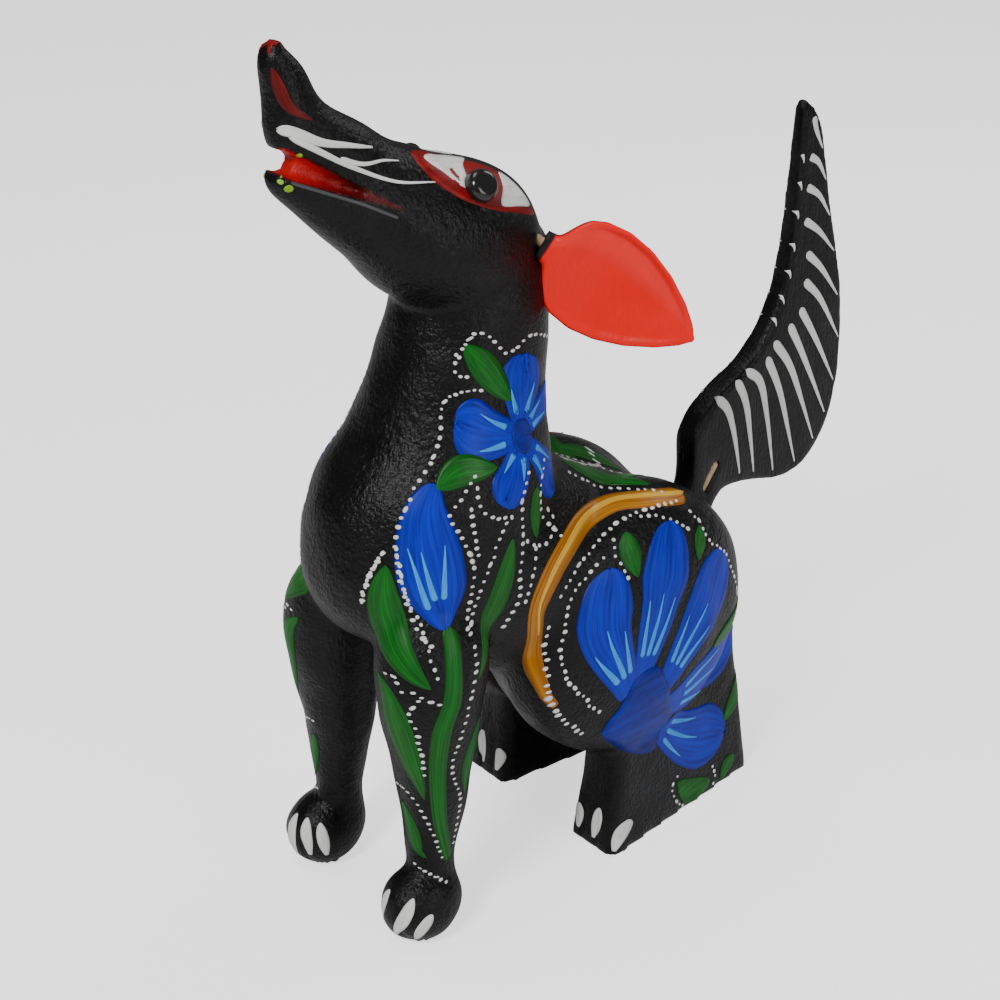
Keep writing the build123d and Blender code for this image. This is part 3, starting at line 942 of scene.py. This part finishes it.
def ear_surface(side):
    """A closed cupped leaf.

    Along the ear its half width and thickness follow smooth curves through a few stations. Round
    each section, the front half runs over the rim and down to a V-shaped fold, and the back half is
    an arc.
    """
    stations = np.array([0.0, 2.6, 4.6, 6.2, 9.5, 15.0, 21.0, 27.5, 33.5, 37.6, 39.5])
    halves = np.array([3.2, 3.6, 8.2, 10.6, 12.4, 13.2, 12.3, 9.8, 6.2, 2.8, 0.3])
    thick = np.array([5.6, 5.6, 5.8, 6.0, 6.2, 6.2, 5.9, 5.2, 4.2, 2.8, 0.8])
    deep = np.array([0.0, 0.0, 0.0, 0.5, 2.0, 3.3, 3.2, 2.6, 1.5, 0.3, 0.0])
    rows = np.linspace(0, stations[-1], 90)
    half, thickness, hollow = (spread(rows, stations, table) for table in (halves, thick, deep))
    ring = np.linspace(-1, 1, 41)
    width = half[:, None] * ring[None]
    rim = np.clip((1 - np.abs(ring)) * half[:, None] / 2.6, 0, 1)
    lip = bump(1 - rim, 1.0)
    fold = 1 - 0.55 * np.abs(ring[None] + 0.28)
    front = 2.4 - hollow[:, None] * lip * fold - 0.7 * (1 - rim) ** 3
    arc = np.sqrt(np.clip(1 - ring[1:-1] ** 2, 0, 1))
    back = 2.4 - 0.7 - (thickness[:, None] - 0.7) * arc[None] ** 0.8
    local_x = np.concatenate([front, back[:, ::-1]], axis=1)
    local_y = np.concatenate([width, width[:, 1:-1][:, ::-1]], axis=1)
    local_z = np.repeat(rows[:, None], local_x.shape[1], axis=1)
    face = np.concatenate([np.ones_like(front), np.zeros_like(back)], axis=1)
    face[:4] = 0
    # Painted highlight: how much of the lighter red lies on one rim edge.
    lit = np.clip((-0.28 - ring) * 4, 0, 1) * lip * 0.8
    rim_highlight = np.concatenate([lit, np.zeros_like(back)], axis=1)
    count = local_x.shape[1]
    points = np.stack([local_x, local_y, local_z], axis=-1).reshape(-1, 3)
    root_end = [points[:count, 0].mean(), 0, 0]
    tip_end = [points[-count:, 0].mean(), 0, rows[-1] + 0.1]
    points = np.vstack([points, root_end, tip_end])
    index = np.arange(count)
    after = (index + 1) % count
    last = (len(rows) - 1) * count
    root = np.stack([np.full(count, len(points) - 2), after, index], axis=1)
    tip = np.stack([np.full(count, len(points) - 1), last + index, last + after], axis=1)
    faces = [grid_faces(len(rows), count, closed=True), root, tip]
    level = np.cos(EAR_DROP)
    axis = np.array([np.sin(EAR_OUT) * level, np.cos(EAR_OUT) * level, -np.sin(EAR_DROP)])
    out = np.array([np.cos(EAR_OUT), -np.sin(EAR_OUT), 0.0])
    wide = np.cross(axis, out)
    coords = EAR_ROOT + points[:, :1] * out + points[:, 1:2] * wide + points[:, 2:] * axis
    coords = coords * [side, 1, 1]
    if side < 0:
        faces = [block[:, ::-1] for block in faces]
    face = np.append(face.ravel(), [0, 1])
    rim_highlight = np.append(rim_highlight.ravel(), [0, 0])
    return coords, faces, face, rim_highlight


def spread(rows, stations, values):
    """A smooth curve by station values: straight interpolation, rounded by its neighbours."""
    fine = np.linspace(stations[0], stations[-1], 400)
    curve = np.interp(fine, stations, values)
    kernel = np.hanning(25)
    padded = np.pad(curve, 12, mode="edge")
    curve = np.convolve(padded, kernel / kernel.sum(), mode="valid")
    return np.interp(rows, fine, curve)


class COYOTE_OT_frame_finish(bpy.types.Operator):
    """Give the beads and the dowels their finish"""

    bl_idname = "coyote.frame_finish"
    bl_label = "Finish the plugged pieces"

    def execute(self, context):
        finishes = {"left_eye": "bead_gloss", "right_eye": "bead_gloss"}
        for peg in ("tail_peg", "left_ear_peg", "right_ear_peg"):
            finishes[peg] = "dowel_grain"
        for name, material in finishes.items():
            obj = bpy.data.objects[name]
            for index in range(len(obj.material_slots)):
                obj.material_slots[index].link = "OBJECT"
                obj.material_slots[index].material = bpy.data.materials[material]
        return {"FINISHED"}


SIDES = ((1, "left"), (-1, "right"))


def paint_side(name, marks, canvas, material, side, word, lift=0.07):
    """Marks on one side of the block."""
    paint = bpy.data.materials[material]
    return lay(f"{word}_{name}", marks, canvas, skin(), "block", paint, side, lift)


def paint_both(name, marks, canvas, material, lift=0.07):
    """The same marks on the block's left and right, each dropped on its own side."""
    for side, word in SIDES:
        paint_side(name, marks, canvas, material, side, word, lift)


class COYOTE_OT_face(bpy.types.Operator):
    """Paint the eye patches, the nostril stripes, the painted highlight along the lips and the whiskers
    """

    bl_idname = "coyote.face"
    bl_label = "Paint the face"

    def execute(self, context):
        almond = [
            (-58, 150), (-57, 144), (-53, 139.5), (-48, 136), (-40, 133),
            (-29, 132), (-33, 139), (-36, 143), (-44, 147.5), (-52, 150),
        ]
        paint_both("eye_patch", [blob(almond)], head_canvas, "eye_red")
        front = [
            (-55.4, 148.4), (-48, 149), (-41.4, 147.8), (-45.6, 145), (-48, 139.8), (-51.8, 142.8),
        ]
        rear = [
            (-35.4, 142.4), (-31.8, 138.4), (-30, 134), (-35.5, 133.8), (-40.5, 134.6), (-37.8, 138.4),
        ]
        paint_both("eye_white", [blob(front, 0.6), blob(rear, 0.6)], head_canvas, "white", 0.13)
        stripe = [(-89, 209), (-88, 205), (-86.5, 201), (-82, 198)]
        paint_both("nostril_stripe", [mark(stripe, 2.2)], side_canvas, "maroon")
        edge = [(-64.5, 197.5), (-63.4, 198.6), (-61.8, 199.2), (-60, 199.2)]
        paint_both("nose_edge", [mark(edge, 0.6, "even")], nose_canvas, "eye_red", 0.1)
        whiskers = (
            ([(-88.7, 197), (-85.7, 196), (-80.7, 193.5), (-75, 192), (-68.7, 190.3)], 2.4),
            ([(-77, 189.6), (-72, 187.7), (-67, 187.4), (-62.6, 186.4)], 1.2),
            ([(-87, 195.5), (-80.7, 191.4), (-74, 187.3), (-65, 183), (-56, 181.4)], 1.5),
        )
        marks = [mark(path, width, "stroke") for path, width in whiskers]
        paint_both("whiskers", marks, side_canvas, "white", 0.12)
        # Painted highlight: a grey line along the lower lip's edge.
        lip = [(-87, 186), (-79, 182.4), (-73, 179.7), (-66, 176)]
        paint_both("lip_line", [mark(lip, 0.7, "even")], side_canvas, "grey_rub")
        specks = [(-88.4, 187.6), (-88.6, 186.2), (-87.4, 184.8), (-84.8, 191.2)]
        paint_both("lime_specks", [dots(specks, [0.7, 0.5, 0.8, 0.5])], side_canvas, "lime", 0.12)
        return {"FINISHED"}


class COYOTE_OT_neck(bpy.types.Operator):
    """Paint the neck flower, the shoulder bud, their leaves and dots"""

    bl_idname = "coyote.neck"
    bl_label = "Paint the neck and shoulder"

    def execute(self, context):
        centre = rolled([(115, 122.6)], NECK_RADIUS)[0]
        petals = [(self.ray(centre, turn, length), width) for turn, length, width in (
            (74, 18.7, 12.5), (161, 20, 14), (234, 16.7, 10.5), (300, 22, 9), (18, 17, 8),
        )]
        bud = rolled([(54, 117), (49, 111), (51, 101), (54, 92), (57, 84.5)], NECK_RADIUS)
        marks = [mark(path, width, "petal") for path, width in petals] + [mark(bud, 12.5, "bud")]
        paint_both("neck_petals", marks, neck_canvas, "petal_blue")
        turn = np.arange(8) * 0.785
        heart = centre + np.stack([3.2 * np.cos(turn), 4.2 * np.sin(turn)], axis=1)
        paint_both("neck_flower_eye", [blob(heart)], neck_canvas, "deep_blue", 0.14)
        light = [vein for path, width in petals for vein in veins(path, width, 2, 1.7, 0.2, 0.66)]
        for root, tip in (((50, 89), (41, 104)), ((53, 91), (47, 103)), ((57, 91), (58, 104))):
            path = [root, ((root[0] + tip[0]) / 2, 97), tip]
            light.append(mark(rolled(path, NECK_RADIUS), 1.3, "stroke"))
        paint_both("neck_veins", light, neck_canvas, "light_blue", 0.13)
        leaves = (
            ([(85, 145), (97, 139.5), (111, 131)], 7.0),
            ([(55, 116), (71, 119), (93, 118)], 6.5),
            ([(119, 110), (117, 104), (114, 98)], 3.8),
        )
        marks = [mark(rolled(path, NECK_RADIUS), width) for path, width in leaves]
        paint_both("neck_leaves", marks, neck_canvas, "leaf_green", 0.1)
        rows = [dot_row(rolled(row, NECK_RADIUS)) for row in self.rows()]
        paint_both("neck_dots", rows, neck_canvas, "white", 0.14)
        return {"FINISHED"}

    def ray(self, centre, degrees, length):
        """A petal's middle line from a flower's centre."""
        way = np.array([np.cos(np.radians(degrees)), np.sin(np.radians(degrees))])
        bend = np.array([-way[1], way[0]]) * length * 0.03
        return [centre + way * 1.5, centre + way * length * 0.55 + bend, centre + way * length]

    def rows(self):
        """The rows of dots on the neck and the breast, in degrees and heights."""
        return (
            [(147, 141), (132, 144), (114, 142), (100, 147), (89, 146), (76, 141)],
            [(83, 138), (75, 139), (78, 143)],
            [
                (92, 135), (78, 135), (63, 132.6), (59, 126), (51, 120.5), (43, 116), (37, 109),
                (36, 103.6), (39, 95), (44, 86), (51, 82),
            ],
            [(78, 117.6), (67, 113), (61, 110.5), (64, 107.5), (70, 101), (72, 97), (70, 90), (68, 83)],
            [(78, 115), (78, 111), (86, 107.5), (97, 106), (92, 105), (84, 99), (76, 92), (69, 82)],
            [(113, 114), (106, 108), (104, 99), (100, 93), (99, 86), (93, 78.5)],
            [(73, 111), (73, 107), (75, 100)],
            [(127, 96), (122, 103), (124, 110), (131, 114)],
            [(31, 103), (27, 99.6), (24, 95), (22, 91)],
        )


class COYOTE_OT_legs(bpy.types.Operator):
    """Paint the front legs' stem, leaves and dots, and every claw"""

    bl_idname = "coyote.legs"
    bl_label = "Paint the legs and claws"

    def execute(self, context):
        leaves = (
            ([(-13, 74), (6, 69), (18, 58), (30, 49), (41, 41)], 5.5),
            ([(-6, 38.5), (9, 31), (22, 25), (40, 23)], 4.6),
            ([(130, 60), (120, 50), (114, 40)], 5.0),
        )
        marks = [mark(rolled(path, LEG_RADIUS), width) for path, width in leaves]
        stem = [(95, 85), (88, 78), (79, 69), (66, 61), (62, 48.5), (67, 35), (82, 26), (95, 21)]
        marks.append(mark(rolled(stem, LEG_RADIUS), 3.6, "even"))
        paint_both("leg_leaves", marks, leg_canvas, "leaf_green")
        shoulder = [(-42.1, 80), (-42.8, 73.4), (-42, 67), (-39.8, 61), (-36, 56), (-31.8, 52)]
        paint_both("shoulder_leaf", [mark(shoulder, 8.5)], shoulder_canvas, "leaf_green")
        rows = (
            [(-39.8, 84), (-38.8, 77.7), (-37, 71), (-34, 65), (-32, 59), (-30.4, 54.7)],
            [(-42.7, 83), (-44.8, 79.6), (-46.7, 75), (-47.7, 71)],
        )
        paint_both("shoulder_dots", [dot_row(row) for row in rows], shoulder_canvas, "white", 0.13)
        rows = (
            [
                (123, 79), (115, 72), (100, 65), (93, 59), (84, 51), (88, 46), (103, 40), (108, 32),
                (110, 25),
            ],
            [(-2, 75), (13, 75), (21, 72), (37, 72), (51, 70), (64, 69)],
            [(39, 70), (30, 66.5), (36, 62), (42, 55), (43, 49)],
            [(-11, 43), (14, 42), (37, 37), (55, 30), (75, 22.5)],
            [(80, 16), (48, 18.6), (13, 20.6)],
        )
        marks = [dot_row(rolled(row, LEG_RADIUS)) for row in rows]
        paint_both("leg_dots", marks, leg_canvas, "white", 0.13)
        paws = (
            (
                [(-12, 37), (-16, 8), (-20, -20)],
                [(39, 40), (28, 10), (11, -24)],
                [(70, 14), (52, -12), (42, -36)],
            ),
            (
                [(6, 40), (2, 8), (-4, -24)],
                [(-20, 42), (-26, 10), (-30, -18)],
                [(-46, 38), (-52, 8), (-56, -20)],
            ),
        )
        for (side, word), claws in zip(SIDES, paws):
            marks = [mark(np.radians(claw) * PAW_RADIUS, 3.1, "claw") for claw in claws]
            paint_side("front_claws", marks, paw_canvas, "white", side, word, 0.16)
        hind = ([(7.7, 9.8), (7.7, 3.0)], [(14.4, 12), (12.9, 2.7)], [(20.6, 8.6), (19.1, 1.3)])
        claws = [mark([top, np.mean([top, end], axis=0), end], 3.0, "claw") for top, end in hind]
        paint_both("hind_claws", claws, toes_canvas, "white", 0.16)
        return {"FINISHED"}


class COYOTE_OT_haunch(bpy.types.Operator):
    """Paint the gold band with its painted highlight, the haunch flower, its leaves and dots, and the
    flank
    """

    bl_idname = "coyote.haunch"
    bl_label = "Paint the haunch"

    def execute(self, context):
        band = np.array([
            (14.6, 58.4), (10, 58.2), (1.8, 58.8), (-6.8, 59.4), (-16, 56), (-24, 49.6),
            (-30, 43), (-32.5, 38), (-31.8, 33), (-31, 27), (-29, 21), (-26.5, 17.7),
        ])
        paint_both("gold_band", [mark(band, 5.2, "fade")], flank_canvas, "gold")
        # Painted highlight: a lighter gold stroke along the band's ridge, where light catches it.
        ridge_highlight_mark = mark(band[:9] + (0.7, 0.8), 1.5, "fade")
        paint_both("gold_light", [ridge_highlight_mark], flank_canvas, "gold_light", 0.12)
        petals = (
            ([(-22, 36), (-28.5, 55), (-25.5, 70)], 14.0),
            ([(-18.8, 38), (-12, 58), (-6, 74)], 15.0),
            ([(-11, 33), (1.5, 47), (10.8, 60)], 16.0),
            ([(-8, 26), (10, 28), (30, 31)], 18.0),
            ([(-4, 19), (9, 9.5), (24, 3.5)], 17.5),
        )
        marks = [mark(path, width, "petal") for path, width in petals]
        paint_both("haunch_petals", marks, haunch_canvas, "petal_blue")
        heart = [
            (-21, 39), (-14, 40), (-10, 34), (-7, 27), (-3, 19),
            (-5, 13), (-12, 15), (-20, 21), (-27, 28), (-24, 33),
        ]
        paint_both("haunch_flower_eye", [blob(heart)], haunch_canvas, "deep_blue", 0.13)
        light = [vein for path, width in petals for vein in veins(path, width, 3, 1.6, 0.16, 0.6)]
        paint_both("haunch_veins", light, haunch_canvas, "light_blue", 0.16)
        leaves = (
            ([(-18.8, 76.4), (-19.5, 71), (-18.9, 65)], 5.5),
            ([(3.4, 69), (2.3, 65), (0.9, 61)], 4.2),
            ([(8, 35), (19, 39), (27, 47)], 4.8),
            ([(24, 7), (29, 12), (33, 20)], 5.5),
            ([(28, -5), (25, -6.6), (22.6, -10)], 4.6),
        )
        drop = [(4, -1), (11, -3.5), (17.5, -7), (14, -10), (9, -10.5), (5, -6)]
        marks = [mark(path, width) for path, width in leaves] + [blob(drop)]
        paint_both("haunch_leaves", marks, haunch_canvas, "leaf_green", 0.14)
        marks = [dot_row(row) for row in self.rows()]
        paint_both("haunch_dots", marks, haunch_canvas, "white", 0.17)
        flank = [(-47, 101), (-50, 92), (-52.4, 85.4), (-55.3, 77.7), (-60, 71)]
        paint_both("flank_leaf", [mark(flank, 6.0)], side_canvas, "leaf_green")
        rows = (
            [(-33, 102), (-32.3, 99.5), (-35, 96.6), (-40, 96.4), (-42, 98.5)],
            [(-40, 96), (-41, 93), (-42.5, 89), (-44, 84)],
        )
        paint_both("flank_dots", [dot_row(row) for row in rows], side_canvas, "white", 0.13)
        return {"FINISHED"}

    def rows(self):
        """The rows of dots round the haunch flower."""
        return (
            [(-1, 77), (-9, 78.5), (-18, 79), (-27, 76), (-34, 73), (-39, 69)],
            [
                (-26, 73), (-31, 70.5), (-36, 67), (-37.5, 60), (-39, 55), (-38.5, 49), (-36, 44),
                (-29.4, 35),
            ],
            [(-41, 62), (-41.5, 50), (-40, 42), (-36, 35), (-32, 30.5)],
            [(-22, 76), (-23, 72), (-21.5, 66)],
            [(-13, 78), (-9, 76.4), (-5, 73.7), (-1, 70)],
            [(1.7, 73), (4, 70), (6, 64), (12, 58.6), (16, 51), (18.6, 45)],
            [(3.5, 0.6), (1.5, -2), (4, -7), (8, -10.5)],
            [(19, -4), (20, -7), (19, -9)],
        )


class COYOTE_OT_back(bpy.types.Operator):
    """Paint the leaves and dots along the spine"""

    bl_idname = "coyote.back"
    bl_label = "Paint the back"

    def execute(self, context):
        leaves = (
            ([(-12.7, 73), (-2, 68), (6.8, 62.5)], 6.5),
            ([(-5, 81), (4.3, 77), (11, 71.7)], 5.0),
        )
        marks = [mark(path, width) for path, width in leaves]
        paint_both("back_leaves", marks, flank_canvas, "leaf_green")
        rows = ([(-14, 69), (-4, 64), (8, 59.8)], [(-12, 77.5), (0, 73), (10, 67)])
        paint_both("back_dots", [dot_row(row) for row in rows], flank_canvas, "white", 0.13)
        return {"FINISHED"}


class COYOTE_OT_tail(bpy.types.Operator):
    """Round the tail's edges, then paint its slanting strokes and the ticks on its front edge"""

    bl_idname = "coyote.tail"
    bl_label = "Carve and paint the tail"

    def execute(self, context):
        obj = copy_of_node("tail", "tail_blade", context.scene.coyote_carving.tail_voxel)
        rub = obj.modifiers.new("Rub", "SMOOTH")
        rub.factor = 0.5
        rub.iterations = 9
        settle(obj)
        coords = read_coords(obj.data)
        cut = np.sin(0.5 * coords[:, 1] + 0.33 * coords[:, 2] + 1.2 * np.sin(0.2 * coords[:, 2]))
        write_coords(obj.data, coords + read_normals(obj.data) * 0.07 * cut[:, None])
        obj.data.materials.clear()
        obj.data.materials.append(bpy.data.materials["tail_black"])
        obj.data.shade_smooth()
        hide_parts("tail")
        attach(obj, "tail")
        strokes = (
            ([(40.6, 102.5), (45.6, 95.9), (51.5, 77.4)], 2.8),
            ([(47.2, 105.6), (51.7, 97), (57.2, 76)], 2.8),
            ([(51, 107.5), (57.7, 100), (65, 74)], 2.8),
            ([(58.4, 109), (65, 97), (74, 73.7)], 2.8),
            ([(61, 112.7), (69.3, 102), (81, 78.5)], 2.8),
            ([(66.6, 116), (74, 104.4), (84.8, 85.4)], 2.7),
            ([(70.8, 119.3), (77.8, 109.5), (87.5, 94.2)], 2.6),
            ([(71.7, 126.7), (79, 119.8), (88.3, 106.5)], 2.6),
            ([(72, 134.2), (79, 128), (86.5, 119)], 2.5),
            ([(70.2, 143.4), (77, 138.7), (83.7, 132)], 2.4),
            ([(70.4, 152.2), (76, 148.6), (81, 142.2)], 2.3),
            ([(70.9, 160), (74.7, 157.6), (78.3, 152.4)], 2.2),
            ([(72.2, 169.8), (73.3, 166.2), (76.2, 161)], 2.2),
        )
        ticks = (
            (67.9, 160), (67.5, 153), (67, 145.5), (66.3, 137), (65.2, 130), (63.2, 123.5), (60.8, 118),
        )
        marks = [mark(path, width, "stroke") for path, width in strokes]
        for y, z in ticks:
            marks.append(mark([(y, z + 1.1), (y + 0.4, z), (y + 0.6, z - 1.1)], 1.0, "stroke"))
        white = bpy.data.materials["white"]
        for side, word in SIDES:
            name = f"{word}_tail_strokes"
            lay(name, marks, side_canvas, obj, "tail", white, side, 0.1)
        return {"FINISHED"}


class COYOTE_OT_stage(bpy.types.Operator):
    """Set the pale floor, the soft studio lights and the camera"""

    bl_idname = "coyote.stage"
    bl_label = "Set the stage"

    def execute(self, context):
        stage = context.scene.coyote_stage
        self.floor(stage)
        azimuth, elevation = stage.azimuth, stage.elevation
        level = np.cos(elevation)
        back = Vector((np.sin(azimuth) * level, -np.cos(azimuth) * level, np.sin(elevation)))
        right = Vector((np.cos(azimuth), np.sin(azimuth), 0))
        up = back.cross(right)
        look = Vector((0, -0.0295, 0.095))
        data = bpy.data.cameras.new("view")
        data.lens = 69.55
        data.sensor_width = 36
        data.clip_start = 0.01
        camera = bpy.data.objects.new("view", data)
        turn = Matrix((right, up, back)).transposed().to_4x4()
        camera.matrix_world = Matrix.Translation(look + back * stage.distance) @ turn
        context.scene.collection.objects.link(camera)
        context.scene.camera = camera
        self.light("key", (0.25, -0.70, 0.75), 0.22, 6.5, look)
        self.light("fill", (0.85, 0.05, 0.35), 0.4, 2.4, look)
        self.light("rim", (0.05, 0.70, 0.65), 0.4, 2.0, look)
        self.light("top", (-0.20, -0.15, 0.95), 0.4, 2.2, look)
        world = bpy.data.worlds.new("studio")
        world.use_nodes = True
        world.node_tree.nodes["Background"].inputs["Color"].default_value = (1, 1, 1, 1)
        world.node_tree.nodes["Background"].inputs["Strength"].default_value = 0.12
        context.scene.world = world
        return {"FINISHED"}

    def floor(self, stage):
        """A wide flat floor that glows a little to the camera alone."""
        ticks = np.linspace(-2.5, 2.5, 21)
        x, y = np.meshgrid(ticks, ticks, indexing="ij")
        coords = np.stack([x, y, np.zeros_like(x)], axis=-1).reshape(-1, 3) / MM
        tree, shader = start_material("pale_floor", 0.85)
        speckle = node(tree, "ShaderNodeTexNoise", {"Scale": 60.0, "Detail": 2.0})
        lighter = tuple(share * 1.03 for share in stage.floor)
        tint = mix_colour(tree, speckle.outputs[0], tuple(stage.floor), lighter)
        tree.links.new(tint, shader.inputs["Base Color"])
        seen = node(tree, "ShaderNodeLightPath")
        glow = mix_colour(tree, seen.outputs["Is Camera Ray"], (0, 0, 0), (1, 1, 1))
        tree.links.new(glow, shader.inputs["Emission Color"])
        shader.inputs["Emission Strength"].default_value = 1.3
        faces = [grid_faces(len(ticks), len(ticks))[:, ::-1]]
        obj = new_object("floor", coords, faces, bpy.data.materials["pale_floor"])

    def light(self, name, place, size, power, target):
        """One square softbox that faces the figure."""
        data = bpy.data.lights.new(name, "AREA")
        data.size = size
        data.energy = power
        obj = bpy.data.objects.new(name, data)
        place = Vector(place)
        turn = (place - target).to_track_quat("Z", "Y").to_matrix().to_4x4()
        obj.matrix_world = Matrix.Translation(place) @ turn
        bpy.context.scene.collection.objects.link(obj)


OPERATORS = (
    COYOTE_OT_materials,
    COYOTE_OT_skin,
    COYOTE_OT_ears,
    COYOTE_OT_frame_finish,
    COYOTE_OT_face,
    COYOTE_OT_neck,
    COYOTE_OT_legs,
    COYOTE_OT_haunch,
    COYOTE_OT_back,
    COYOTE_OT_tail,
    COYOTE_OT_stage,
)


class COYOTE_PT_panel(bpy.types.Panel):
    """Every step of the figure, in order"""

    bl_idname = "COYOTE_PT_panel"
    bl_label = "Howling coyote"
    bl_space_type = "VIEW_3D"
    bl_region_type = "UI"
    bl_category = "Coyote"

    def draw(self, context):
        for operator in OPERATORS:
            self.layout.operator(operator.bl_idname)
        scene = context.scene
        for group in (scene.coyote_carving, scene.coyote_paint, scene.coyote_stage):
            box = self.layout.box()
            for name in group.bl_rna.properties.keys():
                if name not in {"rna_type", "name"}:
                    box.prop(group, name)


CLASSES = (CoyoteCarving, CoyotePaint, CoyoteStage, *OPERATORS, COYOTE_PT_panel)


def register():
    """Registers the classes and the scene's settings."""
    for each in CLASSES:
        bpy.utils.register_class(each)
    bpy.types.Scene.coyote_carving = bpy.props.PointerProperty(type=CoyoteCarving)
    bpy.types.Scene.coyote_paint = bpy.props.PointerProperty(type=CoyotePaint)
    bpy.types.Scene.coyote_stage = bpy.props.PointerProperty(type=CoyoteStage)


def unregister():
    """Takes the classes and the settings away again."""
    del bpy.types.Scene.coyote_stage
    del bpy.types.Scene.coyote_paint
    del bpy.types.Scene.coyote_carving
    for each in reversed(CLASSES):
        bpy.utils.unregister_class(each)


def main():
    """Runs every step in order."""
    register()
    for operator in OPERATORS:
        prefix, name = operator.bl_idname.split(".")
        getattr(getattr(bpy.ops, prefix), name)()


if __name__ == "__main__":
    main()
